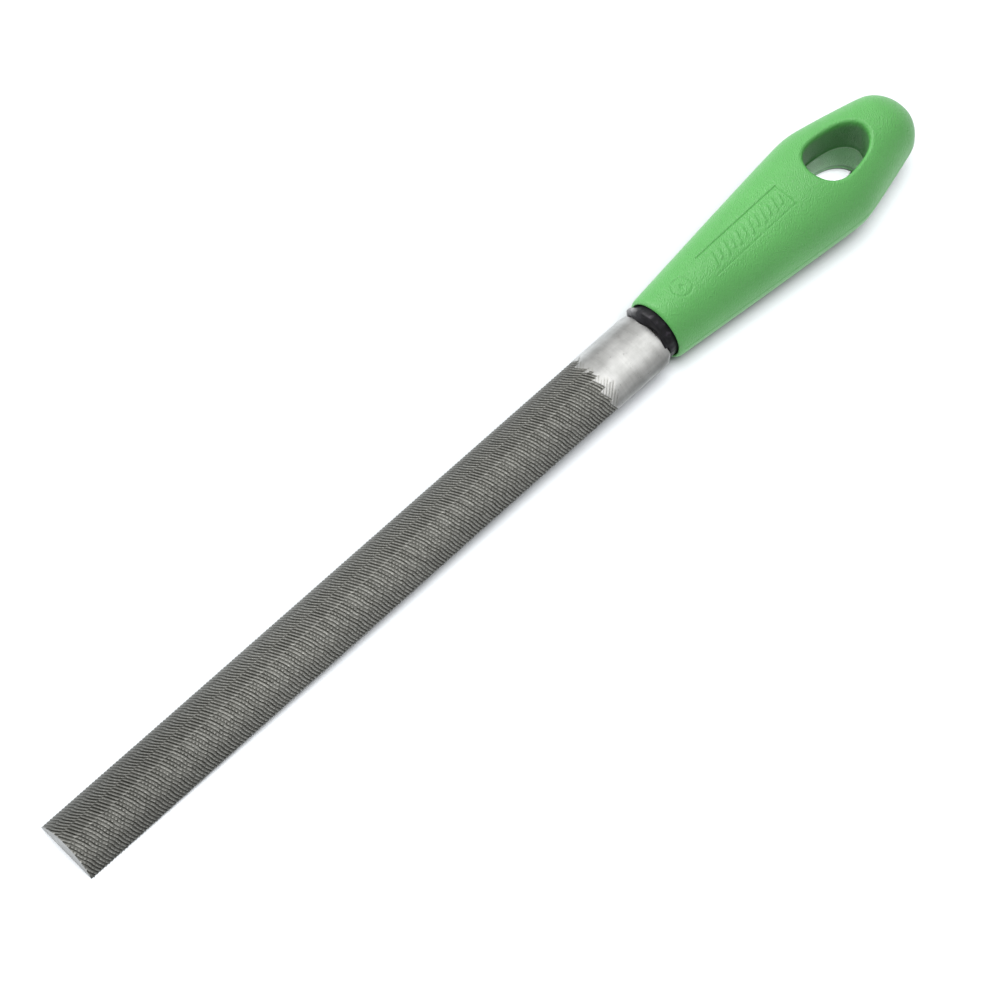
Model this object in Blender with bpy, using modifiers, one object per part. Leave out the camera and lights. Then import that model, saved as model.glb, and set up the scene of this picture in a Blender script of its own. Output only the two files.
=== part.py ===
"""A 200 mm half-round hand file: steel blade with its tang, plastic sleeve and moulded handle.

Frame: the origin is the middle of the blade's flat face, half way from the tip to the
shoulders. +X runs along the file to the handle, +Z is the convex side of the blade.
Lengths and stations below are millimetres.
"""

import math

import bmesh
import bpy

MM = 0.001

# Blade: a circular segment, parallel along its length, blunt at the tip.
TIP_X = -100.0
SHOULDER_X = 100.0
BLADE_THICKNESS = 5.45
BLADE_CHORD = 18.5
TIP_WIDTH = 18.4
BODY_WIDTH = 18.2
TIP_FLARE_LENGTH = 40.0
TIP_RAKE_DEG = 5.5
SHOULDER_CUT_LENGTH = 1.8
SHOULDER_WIDTH = 16.0
BLADE_SEGMENTS = 128

# Tang: a rectangular taper hidden in the sleeve.
TANG_AXIS_Z = 2.3
TANG_ROOT_WIDTH = 9.0
TANG_ROOT_HEIGHT = 4.4
TANG_TIP_WIDTH = 3.2
TANG_TIP_HEIGHT = 2.4
TANG_LENGTH = 50.0
TANG_OVERLAP = 3.0

# Gap between neighbouring pieces, which are press fits on the real file.
FIT_GAP = 0.3

# Handle and sleeve share one axis.
HANDLE_AXIS_Z = 0.84
HANDLE_FRONT = 102.7
HANDLE_END = 200.4

SLEEVE_FRONT = SHOULDER_X + FIT_GAP
SLEEVE_RADIUS = 7.9
SLEEVE_EDGE_RADIUS = 0.9
SLEEVE_STRAIGHT_END = 116.0
SLEEVE_END = 152.0
SLEEVE_END_RADIUS = 5.4
SLEEVE_STEPS = 96

# Handle outline in plan: two straight flanks that meet at the widest station.
FRONT_HALF_WIDTH = 9.33
FLANK_SLOPE = 0.103
BUTT_HALF_WIDTH = 10.43
BUTT_STATION = 191.6
BUTT_SLOPE = 0.253
WIDEST_BLEND = 1.08
# Handle outline from the side.
FRONT_HALF_THICKNESS = 9.47
SIDE_SLOPE = 0.039
BUTT_HALF_THICKNESS = 11.15
BUTT_SIDE_SLOPE = 0.142
SIDE_BLEND = 1.4
# Length of the butt's elliptical rounding in plan and from the side.
BUTT_PLAN_ROUNDING = 7.7
BUTT_SIDE_ROUNDING = 11.0
LIP_RADIUS = 1.4
SECTION_POWER_FRONT = 2.0
SECTION_POWER_BODY = 2.22
SECTION_POWER_LENGTH = 30.0
HANDLE_RING_POINTS = 72
HANDLE_STATIONS = 44
LIP_RINGS = 5
BUTT_RINGS = 10

# Hanging hole: wide end towards the blade. Half widths by station along X.
HOLE_CENTRE_X = 172.5
HOLE_BLADE_REACH = 10.5
HOLE_BUTT_REACH = 10.5
HOLE_SHOULDER_X = -8.8
HOLE_SHOULDER_HALF_WIDTH = 4.8
HOLE_CORNER_X = -4.4
HOLE_CORNER_HALF_WIDTH = 7.1
HOLE_WAIST_X = 4.6
HOLE_WAIST_HALF_WIDTH = 6.0
HOLE_NOSE_X = 9.0
HOLE_NOSE_HALF_WIDTH = 3.5
HOLE_CURVE_RESOLUTION = 6
HOLE_RIM_RADIUS = 1.3
HOLE_RIM_RINGS = 4
HOLE_RIM_SWEEP_DEG = 62.0
CUTTER_MARGIN = 4.0
EDGE_SHARE_LIMIT = 0.999

# Mesh clean-up distances and the angles above which an edge stays crisp.
WELD_DISTANCE = 0.001
SCREW_WELD_DISTANCE = 0.01
BLADE_CREASE_DEG = 20.0
SLEEVE_CREASE_DEG = 30.0
HANDLE_CREASE_DEG = 35.0

STEEL_COLOUR = (0.23, 0.23, 0.22)
STEEL_ROUGHNESS = 0.42
STEEL_METALLIC = 0.9
BLACK_COLOUR = (0.025, 0.025, 0.028)
BLACK_ROUGHNESS = 0.5
GREEN_COLOUR = (0.13, 0.47, 0.12)
GREEN_ROUGHNESS = 0.42
PLASTIC_METALLIC = 0.0


def blend_low(first, second, softness):
    """The lower of two values, with a rounded crossing."""
    gap = math.hypot(first - second, softness)
    return 0.5 * (first + second - gap)


def half_width(x):
    rising = FRONT_HALF_WIDTH + FLANK_SLOPE * (x - HANDLE_FRONT)
    falling = BUTT_HALF_WIDTH - BUTT_SLOPE * (x - BUTT_STATION)
    return blend_low(rising, falling, WIDEST_BLEND)


def half_thickness(x):
    rising = FRONT_HALF_THICKNESS + SIDE_SLOPE * (x - HANDLE_FRONT)
    falling = BUTT_HALF_THICKNESS - BUTT_SIDE_SLOPE * (x - BUTT_STATION)
    return blend_low(rising, falling, SIDE_BLEND)


def butt_share(x, length):
    """Share of the full size left at a station of the butt's elliptical rounding."""
    depth = max(0.0, (x - (HANDLE_END - length)) / length)
    return math.sqrt(max(0.0, 1.0 - depth * depth))


def section_power(x):
    share = min(1.0, max(0.0, (x - HANDLE_FRONT) / SECTION_POWER_LENGTH))
    return SECTION_POWER_FRONT + (SECTION_POWER_BODY - SECTION_POWER_FRONT) * share


def section_point(x, width, thickness, angle):
    power = 2.0 / section_power(x)
    across = math.cos(angle)
    up = math.sin(angle)
    y = width * math.copysign(abs(across) ** power, across)
    z = thickness * math.copysign(abs(up) ** power, up)
    return x, y, HANDLE_AXIS_Z + z


def handle_height(x, y):
    """Height of the handle's upper surface above its axis."""
    power = section_power(x)
    share = min(EDGE_SHARE_LIMIT, abs(y) / half_width(x))
    return half_thickness(x) * (1.0 - share**power) ** (1.0 / power)


def make_material(name, colour, roughness, metallic):
    material = bpy.data.materials.new(name)
    material.use_nodes = True
    shader = material.node_tree.nodes["Principled BSDF"]
    shader.inputs["Base Color"].default_value = (*colour, 1.0)
    shader.inputs["Roughness"].default_value = roughness
    shader.inputs["Metallic"].default_value = metallic
    material.diffuse_color = (*colour, 1.0)
    return material


def steel():
    return make_material("file_steel", STEEL_COLOUR, STEEL_ROUGHNESS, STEEL_METALLIC)


def black_plastic():
    return make_material("sleeve_plastic", BLACK_COLOUR, BLACK_ROUGHNESS, PLASTIC_METALLIC)


def green_plastic():
    return make_material("handle_plastic", GREEN_COLOUR, GREEN_ROUGHNESS, PLASTIC_METALLIC)


def object_from(name, vertices, faces, collection):
    mesh = bpy.data.meshes.new(name)
    mesh.from_pydata([(x * MM, y * MM, z * MM) for x, y, z in vertices], [], faces)
    mesh.validate()
    made = bmesh.new()
    made.from_mesh(mesh)
    bmesh.ops.recalc_face_normals(made, faces=made.faces)
    made.to_mesh(mesh)
    made.free()
    item = bpy.data.objects.new(name, mesh)
    collection.objects.link(item)
    return item


def loft(name, rings, collection):
    """A closed skin over rings with equal point counts, capped at both ends."""
    count = len(rings[0])
    vertices = [point for ring in rings for point in ring]
    faces = []
    for i in range(len(rings) - 1):
        for j in range(count):
            k = (j + 1) % count
            low = i * count
            high = low + count
            faces.append((low + j, low + k, high + k, high + j))
    last = (len(rings) - 1) * count
    faces.append(tuple(range(count)))
    faces.append(tuple(last + j for j in range(count)))
    return object_from(name, vertices, faces, collection)


def outline_prism(name, outline, bottom, top, collection):
    """A filled curve outline in plan, extruded in Z and turned into a mesh."""
    curve = bpy.data.curves.new(name, "CURVE")
    curve.dimensions = "2D"
    curve.fill_mode = "BOTH"
    curve.extrude = 0.5 * (top - bottom) * MM
    spline = curve.splines.new("POLY")
    spline.points.add(len(outline) - 1)
    for point, (x, y) in zip(spline.points, outline):
        point.co = (x * MM, y * MM, 0.0, 1.0)
    spline.use_cyclic_u = True
    return curve_to_mesh(name, curve, 0.5 * (top + bottom), collection)


def curve_to_mesh(name, curve, height, collection):
    drawn = bpy.data.objects.new(name + "_curve", curve)
    drawn.location.z = height * MM
    collection.objects.link(drawn)
    bpy.context.view_layer.update()
    graph = bpy.context.evaluated_depsgraph_get()
    mesh = bpy.data.meshes.new_from_object(drawn.evaluated_get(graph))
    mesh.transform(drawn.matrix_world)
    bpy.data.objects.remove(drawn)
    made = bmesh.new()
    made.from_mesh(mesh)
    bmesh.ops.remove_doubles(made, verts=made.verts, dist=WELD_DISTANCE * MM)
    bmesh.ops.recalc_face_normals(made, faces=made.faces)
    made.to_mesh(mesh)
    made.free()
    item = bpy.data.objects.new(name, mesh)
    collection.objects.link(item)
    return item


def turned(name, profile, steps, collection):
    """A profile of (x, radius) points turned about the handle's axis by a Screw."""
    mesh = bpy.data.meshes.new(name)
    vertices = [(x * MM, 0.0, radius * MM) for x, radius in profile]
    mesh.from_pydata(vertices, [(i, i + 1) for i in range(len(profile) - 1)], [])
    item = bpy.data.objects.new(name, mesh)
    item.location.z = HANDLE_AXIS_Z * MM
    collection.objects.link(item)
    screw = item.modifiers.new("Turn", "SCREW")
    screw.axis = "X"
    screw.steps = steps
    screw.render_steps = steps
    screw.use_merge_vertices = True
    screw.merge_threshold = SCREW_WELD_DISTANCE * MM
    screw.use_normal_calculate = True
    bpy.context.view_layer.update()
    graph = bpy.context.evaluated_depsgraph_get()
    solid = bpy.data.meshes.new_from_object(item.evaluated_get(graph))
    item.modifiers.clear()
    item.data = solid
    made = bmesh.new()
    made.from_mesh(solid)
    bmesh.ops.remove_doubles(made, verts=made.verts, dist=WELD_DISTANCE * MM)
    bmesh.ops.recalc_face_normals(made, faces=made.faces)
    made.to_mesh(solid)
    made.free()
    return item


def boolean(item, other, operation):
    step = item.modifiers.new(operation.title(), "BOOLEAN")
    step.operation = operation
    step.solver = "EXACT"
    step.object = other
    return step


def smooth(item, angle_deg):
    """Smooth shading with edges sharper than the angle kept crisp."""
    bpy.context.view_layer.update()
    graph = bpy.context.evaluated_depsgraph_get()
    mesh = bpy.data.meshes.new_from_object(item.evaluated_get(graph))
    item.modifiers.clear()
    item.data = mesh
    for polygon in mesh.polygons:
        polygon.use_smooth = True
    made = bmesh.new()
    made.from_mesh(mesh)
    limit = math.radians(angle_deg)
    for edge in made.edges:
        edge.smooth = edge.calc_face_angle(0.0) < limit
    made.to_mesh(mesh)
    made.free()


def paint(item, material):
    item.data.materials.clear()
    item.data.materials.append(material)
    for polygon in item.data.polygons:
        polygon.material_index = 0


def tang_solid(name, start, grow, collection):
    """The tang's rectangular taper from a four-sided cone, grown on every side."""
    bpy.ops.mesh.primitive_cone_add(
        vertices=4,
        radius1=math.sqrt(0.5) * MM,
        radius2=math.sqrt(0.5) * MM,
        depth=1.0 * MM,
        rotation=(0.0, 0.0, math.radians(45.0)),
    )
    item = bpy.context.object
    item.name = name
    for other in list(item.users_collection):
        other.objects.unlink(item)
    collection.objects.link(item)
    bpy.context.view_layer.update()
    item.data.transform(item.matrix_world)
    item.matrix_world.identity()
    end = SHOULDER_X + TANG_LENGTH + grow
    for vertex in item.data.vertices:
        at_root = vertex.co.z < 0.0
        x = start if at_root else end
        share = (x - SHOULDER_X) / TANG_LENGTH
        width = TANG_ROOT_WIDTH + (TANG_TIP_WIDTH - TANG_ROOT_WIDTH) * share
        height = TANG_ROOT_HEIGHT + (TANG_TIP_HEIGHT - TANG_ROOT_HEIGHT) * share
        y = math.copysign(0.5 * width + grow, vertex.co.x)
        z = TANG_AXIS_Z + math.copysign(0.5 * height + grow, vertex.co.y)
        vertex.co = (x * MM, y * MM, z * MM)
    made = bmesh.new()
    made.from_mesh(item.data)
    bmesh.ops.recalc_face_normals(made, faces=made.faces)
    made.to_mesh(item.data)
    made.free()
    return item


def blade_rod(name, collection):
    """The round bar whose upper segment is the blade's convex side."""
    half = 0.5 * BLADE_CHORD
    radius = (half**2 + BLADE_THICKNESS**2) / (2.0 * BLADE_THICKNESS)
    length = SHOULDER_X - TIP_X + 2.0 * CUTTER_MARGIN
    bpy.ops.mesh.primitive_cylinder_add(
        vertices=BLADE_SEGMENTS,
        radius=radius * MM,
        depth=length * MM,
        location=(0.5 * (TIP_X + SHOULDER_X) * MM, 0.0, (BLADE_THICKNESS - radius) * MM),
        rotation=(0.0, math.radians(90.0), 0.0),
    )
    item = bpy.context.object
    item.name = name
    for other in list(item.users_collection):
        other.objects.unlink(item)
    collection.objects.link(item)
    return item


def tip_cutter(collection):
    """A block whose slanted side is the raked end face of the tip."""
    slope = math.tan(math.radians(TIP_RAKE_DEG))
    low = -CUTTER_MARGIN
    high = BLADE_THICKNESS + CUTTER_MARGIN
    far = TIP_X - 2.0 * CUTTER_MARGIN
    side = 0.5 * TIP_WIDTH + CUTTER_MARGIN
    corners = (
        (far, low),
        (TIP_X + slope * low, low),
        (TIP_X + slope * high, high),
        (far, high),
    )
    rings = [[(x, y, z) for x, z in corners] for y in (-side, side)]
    return loft("tip_cutter", rings, collection)


def blade(collection, cutters):
    outline = (
        (TIP_X - CUTTER_MARGIN, -0.5 * TIP_WIDTH),
        (TIP_X + TIP_FLARE_LENGTH, -0.5 * BODY_WIDTH),
        (SHOULDER_X - SHOULDER_CUT_LENGTH, -0.5 * BODY_WIDTH),
        (SHOULDER_X, -0.5 * SHOULDER_WIDTH),
        (SHOULDER_X, 0.5 * SHOULDER_WIDTH),
        (SHOULDER_X - SHOULDER_CUT_LENGTH, 0.5 * BODY_WIDTH),
        (TIP_X + TIP_FLARE_LENGTH, 0.5 * BODY_WIDTH),
        (TIP_X - CUTTER_MARGIN, 0.5 * TIP_WIDTH),
    )
    top = BLADE_THICKNESS + CUTTER_MARGIN
    item = outline_prism("file_blade", outline, 0.0, top, collection)
    boolean(item, blade_rod("blade_rod", cutters), "INTERSECT")
    boolean(item, tip_cutter(cutters), "DIFFERENCE")
    tang = tang_solid("tang_taper", SHOULDER_X - TANG_OVERLAP, 0.0, cutters)
    boolean(item, tang, "UNION")
    smooth(item, BLADE_CREASE_DEG)
    paint(item, steel())
    return item


def sleeve_profile(grow):
    """(x, radius) points from the bore side of the mouth round to the inner end."""
    points = [(SLEEVE_FRONT - grow, 0.0)]
    edge = SLEEVE_EDGE_RADIUS
    for i in range(LIP_RINGS + 1):
        angle = 0.5 * math.pi * i / LIP_RINGS
        x = SLEEVE_FRONT - grow + edge * (1.0 - math.sin(angle))
        points.append((x, SLEEVE_RADIUS + grow - edge * (1.0 - math.cos(angle))))
    points = [points[0]] + points[:0:-1]
    points.append((SLEEVE_STRAIGHT_END, SLEEVE_RADIUS + grow))
    points.append((SLEEVE_END + grow, SLEEVE_END_RADIUS + grow))
    points.append((SLEEVE_END + grow, 0.0))
    return points


def sleeve(collection, cutters):
    item = turned("tang_sleeve", sleeve_profile(0.0), SLEEVE_STEPS, collection)
    start = SLEEVE_FRONT - CUTTER_MARGIN
    boolean(item, tang_solid("tang_bore", start, FIT_GAP, cutters), "DIFFERENCE")
    smooth(item, SLEEVE_CREASE_DEG)
    paint(item, black_plastic())
    return item


def handle_rings():
    rings = []
    angles = [2.0 * math.pi * i / HANDLE_RING_POINTS for i in range(HANDLE_RING_POINTS)]
    for i in range(LIP_RINGS):
        turn = 0.5 * math.pi * i / LIP_RINGS
        x = HANDLE_FRONT + LIP_RADIUS * (1.0 - math.cos(turn))
        inset = LIP_RADIUS * (1.0 - math.sin(turn))
        width = half_width(x) - inset
        thickness = half_thickness(x) - inset
        rings.append([section_point(x, width, thickness, a) for a in angles])
    start = HANDLE_FRONT + LIP_RADIUS
    butt_length = max(BUTT_PLAN_ROUNDING, BUTT_SIDE_ROUNDING)
    butt_start = HANDLE_END - butt_length
    for i in range(HANDLE_STATIONS):
        x = start + (butt_start - start) * i / HANDLE_STATIONS
        rings.append([section_point(x, half_width(x), half_thickness(x), a) for a in angles])
    for i in range(BUTT_RINGS):
        turn = 0.5 * math.pi * i / BUTT_RINGS
        x = butt_start + butt_length * math.sin(turn)
        width = half_width(x) * butt_share(x, BUTT_PLAN_ROUNDING)
        thickness = half_thickness(x) * butt_share(x, BUTT_SIDE_ROUNDING)
        rings.append([section_point(x, width, thickness, a) for a in angles])
    return rings


def hole_outline():
    """Points of the hanging hole in plan, from one closed Bezier curve."""
    half = (
        (-HOLE_BLADE_REACH, 0.0),
        (HOLE_SHOULDER_X, HOLE_SHOULDER_HALF_WIDTH),
        (HOLE_CORNER_X, HOLE_CORNER_HALF_WIDTH),
        (HOLE_WAIST_X, HOLE_WAIST_HALF_WIDTH),
        (HOLE_NOSE_X, HOLE_NOSE_HALF_WIDTH),
        (HOLE_BUTT_REACH, 0.0),
    )
    knots = list(half) + [(x, -y) for x, y in half[-2:0:-1]]
    curve = bpy.data.curves.new("hole_outline", "CURVE")
    curve.resolution_u = HOLE_CURVE_RESOLUTION
    spline = curve.splines.new("BEZIER")
    spline.bezier_points.add(len(knots) - 1)
    for point, (x, y) in zip(spline.bezier_points, knots):
        point.co = ((HOLE_CENTRE_X + x) * MM, y * MM, 0.0)
        point.handle_left_type = "AUTO"
        point.handle_right_type = "AUTO"
    spline.use_cyclic_u = True
    drawn = bpy.data.objects.new("hole_outline", curve)
    bpy.context.scene.collection.objects.link(drawn)
    bpy.context.view_layer.update()
    graph = bpy.context.evaluated_depsgraph_get()
    mesh = bpy.data.meshes.new_from_object(drawn.evaluated_get(graph))
    points = [(vertex.co.x / MM, vertex.co.y / MM) for vertex in mesh.vertices]
    bpy.data.objects.remove(drawn)
    return points


def outward(points):
    """Unit normals of a closed plan outline, pointing away from its middle."""
    normals = []
    count = len(points)
    for i in range(count):
        before = points[i - 1]
        after = points[(i + 1) % count]
        dx = after[0] - before[0]
        dy = after[1] - before[1]
        length = math.hypot(dx, dy)
        nx = dy / length
        ny = -dx / length
        side = nx * (points[i][0] - HOLE_CENTRE_X) + ny * points[i][1]
        sign = 1.0 if side > 0.0 else -1.0
        normals.append((sign * nx, sign * ny))
    return normals


def hole_cutter(collection):
    """The hole's loft: straight walls that flare into a rounded rim on both faces."""
    points = hole_outline()
    normals = outward(points)
    sweep = math.radians(HOLE_RIM_SWEEP_DEG)
    levels = []
    for i in range(HOLE_RIM_RINGS + 1):
        turn = sweep * i / HOLE_RIM_RINGS
        flare = HOLE_RIM_RADIUS * (1.0 - math.cos(turn))
        rise = HOLE_RIM_RADIUS * math.sin(turn) - HOLE_RIM_RADIUS
        levels.append((flare, rise))
    beyond = CUTTER_MARGIN / math.tan(0.5 * math.pi - sweep)
    levels.append((levels[-1][0] + beyond, levels[-1][1] + CUTTER_MARGIN))
    upper = []
    for flare, rise in levels:
        ring = []
        for (x, y), (nx, ny) in zip(points, normals):
            px = x + nx * flare
            py = y + ny * flare
            height = handle_height(x + nx * HOLE_RIM_RADIUS, y + ny * HOLE_RIM_RADIUS)
            ring.append((px, py, height + rise))
        upper.append(ring)
    rings = [[(x, y, HANDLE_AXIS_Z - z) for x, y, z in ring] for ring in upper[::-1]]
    rings += [[(x, y, HANDLE_AXIS_Z + z) for x, y, z in ring] for ring in upper]
    return loft("hole_cutter", rings, collection)


def handle(collection, cutters):
    item = loft("moulded_handle", handle_rings(), collection)
    profile = sleeve_profile(FIT_GAP)
    start = HANDLE_FRONT - CUTTER_MARGIN
    radius = SLEEVE_RADIUS + FIT_GAP
    socket = [(start, 0.0), (start, radius)] + profile[-3:]
    boolean(item, turned("socket_cutter", socket, SLEEVE_STEPS, cutters), "DIFFERENCE")
    boolean(item, hole_cutter(cutters), "DIFFERENCE")
    smooth(item, HANDLE_CREASE_DEG)
    paint(item, green_plastic())
    return item


def new_collection(name):
    made = bpy.data.collections.new(name)
    bpy.context.scene.collection.children.link(made)
    return made


def main():
    for item in list(bpy.data.objects):
        bpy.data.objects.remove(item)
    collection = new_collection("half_round_file")
    cutters = new_collection("cutters")
    blade(collection, cutters)
    sleeve(collection, cutters)
    handle(collection, cutters)
    for item in cutters.objects:
        item.hide_render = True
        item.display_type = "WIRE"
    cutters.hide_render = True


main()
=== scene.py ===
"""Looks for the half-round hand file: cut steel blade, black tang sleeve and moulded handle.

Lengths are millimetres in the part's own frame until a mesh is written out in metres; lamps and
textures are in metres. The origin is the middle of the blade's flat face, +X runs to the handle
and +Z is the convex side. Places along the blade's arc start at its crown and grow towards +Y.
"""

import math
from collections import namedtuple

import bpy
import numpy as np
from mathutils import Matrix, Vector


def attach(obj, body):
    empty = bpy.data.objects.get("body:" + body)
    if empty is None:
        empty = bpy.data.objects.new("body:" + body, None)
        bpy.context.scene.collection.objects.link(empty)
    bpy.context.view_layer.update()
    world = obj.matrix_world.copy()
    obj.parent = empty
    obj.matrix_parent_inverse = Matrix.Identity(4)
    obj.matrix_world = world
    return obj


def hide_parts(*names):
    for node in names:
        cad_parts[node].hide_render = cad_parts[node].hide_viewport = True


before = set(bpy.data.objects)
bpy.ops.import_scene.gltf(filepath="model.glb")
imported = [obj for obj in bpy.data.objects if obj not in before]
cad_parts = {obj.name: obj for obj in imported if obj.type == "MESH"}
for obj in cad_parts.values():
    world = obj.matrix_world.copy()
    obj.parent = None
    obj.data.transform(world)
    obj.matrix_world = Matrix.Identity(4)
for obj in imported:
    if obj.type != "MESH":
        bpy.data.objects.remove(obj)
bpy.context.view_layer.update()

MM = 0.001
TINY = 0.001

# Blade: a circular segment, parallel and blunt, with a raked tip and clipped shoulders.
TIP_X = -100.0
SHOULDER_X = 100.0
THICKNESS = 5.45
ARC_RADIUS = 10.574
ARC_CENTRE_Z = THICKNESS - ARC_RADIUS
HALF_WIDTH = 9.1
TIP_HALF_WIDTH = 9.2
TIP_FLARE = 40.0
TIP_RAKE = math.tan(math.radians(5.5))
TIP_FACE_INSET = 0.1
TIP_FACE_PROUD = 0.02
SHOULDER_HALF_WIDTH = 8.0
SHOULDER_CUT = 1.8
HEEL_STATIONS = (86.0, 88.0, 90.0, 92.0, 94.0, 96.0, 97.4, 98.2, 98.5, 99.0, 99.5, 99.8)
# Stations of the shoulder's rounded edge, with how far each is drawn in.
SHOULDER_EDGE = ((99.93, 0.05), (100.0, 0.18))

# Teeth. A row is one line of points across the blade at a set phase of a tooth, with its depth
# as a share of the full depth.
PITCH = 0.947
ROW_PHASES = (0.0, 0.22, 0.5, 0.77)
ROW_DEPTHS = (1.0, 0.0, 0.36, 0.72)
UP_DEPTH = 0.3
TOOTH_START = 0.2
TOOTH_VARIATION = 0.15
TEETH_LIMIT_X = 84.4
EDGE_CLEARANCE = 0.07
ARC_COLUMNS = 104
FLAT_COLUMNS = 12
# Share of the depth left at the +Y edge, and the stretch of the arc over which it falls to that.
EDGE_DEPTH = 0.62
EDGE_DEPTH_START = 8.5
EDGE_DEPTH_LENGTH = 3.0
# A strip's teeth end on a bow: its depth in teeth, its middle as a share of the strip, and how
# far that middle moves from strip to strip.
END_BOW = 1.6
END_BOW_MIDDLE = 0.3
END_BOW_SCATTER = 0.4

# Over-cut: a second set of strokes, slanting across the teeth and running out on to the heel.
OVER_PITCH = 1.168
OVER_SLOPE = 1.05
OVER_DEPTH = 0.22
OVER_SHARPNESS = 2.2
OVER_REACH = (80.8, 83.6)
OVER_FADE = 0.8
# Depth shares of the over-cut: among the teeth, and beyond them.
FINE_OVER_CUT = (0.6, 0.21)
BOLD_OVER_CUT = (1.0, 0.8)
# How toothed a stroke beyond the teeth looks: the most it can be, and its gain over its depth.
STROKE_CUT_LIMIT = 0.95
STROKE_CUT_GAIN = 1.8

# Strips that the convex side was cut in, from +Y to -Y: top of the strip along the arc, phase
# jump in teeth, lean of its lines at its top, middle and bottom, end of its teeth at its top, and
# where the crown line meets its last over-cut stroke.
Strip = namedtuple("Strip", "top jump leans teeth_end last_stroke")
STRIPS = (
    Strip(11.5, 0.0, (0.0, 0.26, 0.4), 80.0, 73.5),
    Strip(6.7, -0.1, (-0.05, 0.47, 0.53), 78.8, 75.2),
    Strip(2.95, 0.5, (0.36, 0.43, 0.48), 79.0, 78.3),
    Strip(-0.5, 0.1, (0.3, 0.38, 0.2), 78.2, 84.5),
    Strip(-4.2, 0.0, (0.14, 0.5, 0.16), 77.8, 89.5),
    Strip(-8.0, 0.0, (0.12, 0.47, 0.5), 78.3, 89.9),
)
STRIP_BOTTOMS = tuple(strip.top for strip in STRIPS[1:]) + (-11.5,)
FINE_STRIPS = (0, 1, 2)
BOLD_STRIPS = (3, 4, 5)
FLAT_STRIP = 9
FLAT_TEETH_END = 79.5
# Teeth are shallower at the two sides of a fine strip.
STRIP_SIDE_POWER = 8
STRIP_SIDE_LOSS = 0.3

# Brightness of the steel, as factors on its colour.
TIP_FACE_TONE = 0.7
FLAT_TONE = 0.75
# Teeth: (place along the arc, tone). These paint light and shade: painted highlights near the crown
# and at -5.5, painted shade on the +Y side and at the -Y edge.
TOOTH_LIGHT_TONES = (
    (-11.0, 0.5), (-9.5, 0.94), (-7.5, 1.0), (-5.5, 1.17), (-4.2, 1.07), (-2.2, 1.27),
    (0.5, 0.97), (4.5, 1.0), (6.5, 0.7), (8.0, 0.62), (9.5, 0.72),
)
# Painted shade along the bare heel's -Y edge: how much it darkens, where it starts and over what length.
HEEL_EDGE_SHADE = 0.35
HEEL_EDGE_START = -8.5
HEEL_EDGE_LENGTH = 1.5
# Darkening of the teeth towards the tip: how much, the station where it is full, and where it ends.
TIP_DARKENING = 0.18
TIP_DARK_START = -75.0
TIP_DARK_END = -35.0
# Painted glints: pearls between the over-cuts, and rows of dots on two lines along the arc. The
# steps spread their brightness evenly from tooth to tooth and from stroke to stroke.
PEARL_GAIN = 0.14
PEARL_LOSS = 0.03
PEARL_STEPS = (0.7549, 0.5698)
DOT_PLACES = (-0.4, -3.7)
DOT_WIDTH = 0.4
DOT_GAIN = 0.4
DOT_STEP = 0.618

# Tang, hidden in the sleeve: half width and half height at its root and at its end.
TANG_Z = 2.3
TANG_ROOT = (4.5, 2.2)
TANG_TIP = (1.6, 1.2)
TANG_END_X = 150.0

# Handle: it widens from the front to near the butt, then narrows.
AXIS_Z = 0.84
HANDLE_FRONT = 102.7
HANDLE_END = 200.4
FRONT_HALF_WIDTH = 9.33
FLANK_SLOPE = 0.103
BUTT_HALF_WIDTH = 10.43
BUTT_STATION = 191.6
BUTT_SLOPE = 0.253
WIDEST_BLEND = 1.08
FRONT_HALF_THICKNESS = 9.47
SIDE_SLOPE = 0.039
BUTT_HALF_THICKNESS = 11.15
BUTT_SIDE_SLOPE = 0.142
SIDE_BLEND = 1.4
BUTT_PLAN_ROUNDING = 7.7
BUTT_SIDE_ROUNDING = 11.0
BUTT_STEPS = 22
SECTION_POWER_FRONT = 2.0
SECTION_POWER_BODY = 2.22
SECTION_POWER_LENGTH = 30.0
SKIN_LIMIT = 0.9995
# Ridge of the mould's parting line along both sides.
RIDGE = 0.1
RIDGE_HALF_HEIGHT = 0.2
RIDGE_END_X = 196.0

# Mouth of the handle: the bore, its rounded inner edge as (distance behind the front, added
# radius), and the lip rolled over from it.
BORE_RADIUS = 8.2
BORE_TAPER_X = 116.3
BORE_END_X = 152.3
BORE_END_RADIUS = 5.7
MOUTH_EDGE = ((0.5, 0.0), (0.2, 0.03), (0.06, 0.12))
LIP_LENGTH = 1.5
LIP_INSET = 0.25
LIP_STEPS = 9

# Hanging hole: knots of half its outline, and the patch of skin it is cut in.
HOLE_CENTRE_X = 172.47
HOLE_KNOTS = ((-10.82, 0.0), (-9.0, 5.07), (-4.45, 7.45), (4.74, 6.31), (9.19, 3.68), (10.82, 0.0))
KNOT_STEPS = 60
OUTLINE_SMOOTHING = 300
RIM_RADIUS = 1.35
RIM_MIDDLE = 0.38
RIM_TURNS = (12.0, 24.0, 36.0, 48.0, 60.0, 72.0, 82.0, 90.0)
WALL_DRAFT = 0.35
WALL_SHARES = (0.85, 0.6, 0.35, 0.15, 0.06, 0.03)
SEAM_STEP = 0.1
SEAM_INSET = 0.7
SKIN_SHARES = (0.1, 0.22, 0.35, 0.48, 0.6, 0.72, 0.82, 0.9, 0.96, 1.0)
PATCH_START_X = 157.4
PATCH_END_X = 187.4
PATCH_STEPS = 50
# Values of the attribute that paints shade on the upper wall of the hole, and paints light,
# as if from the floor below, on the lower one.
UPPER_WALL_SHADE = 0.5
LOWER_WALL_LIGHT = 1.0

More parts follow.
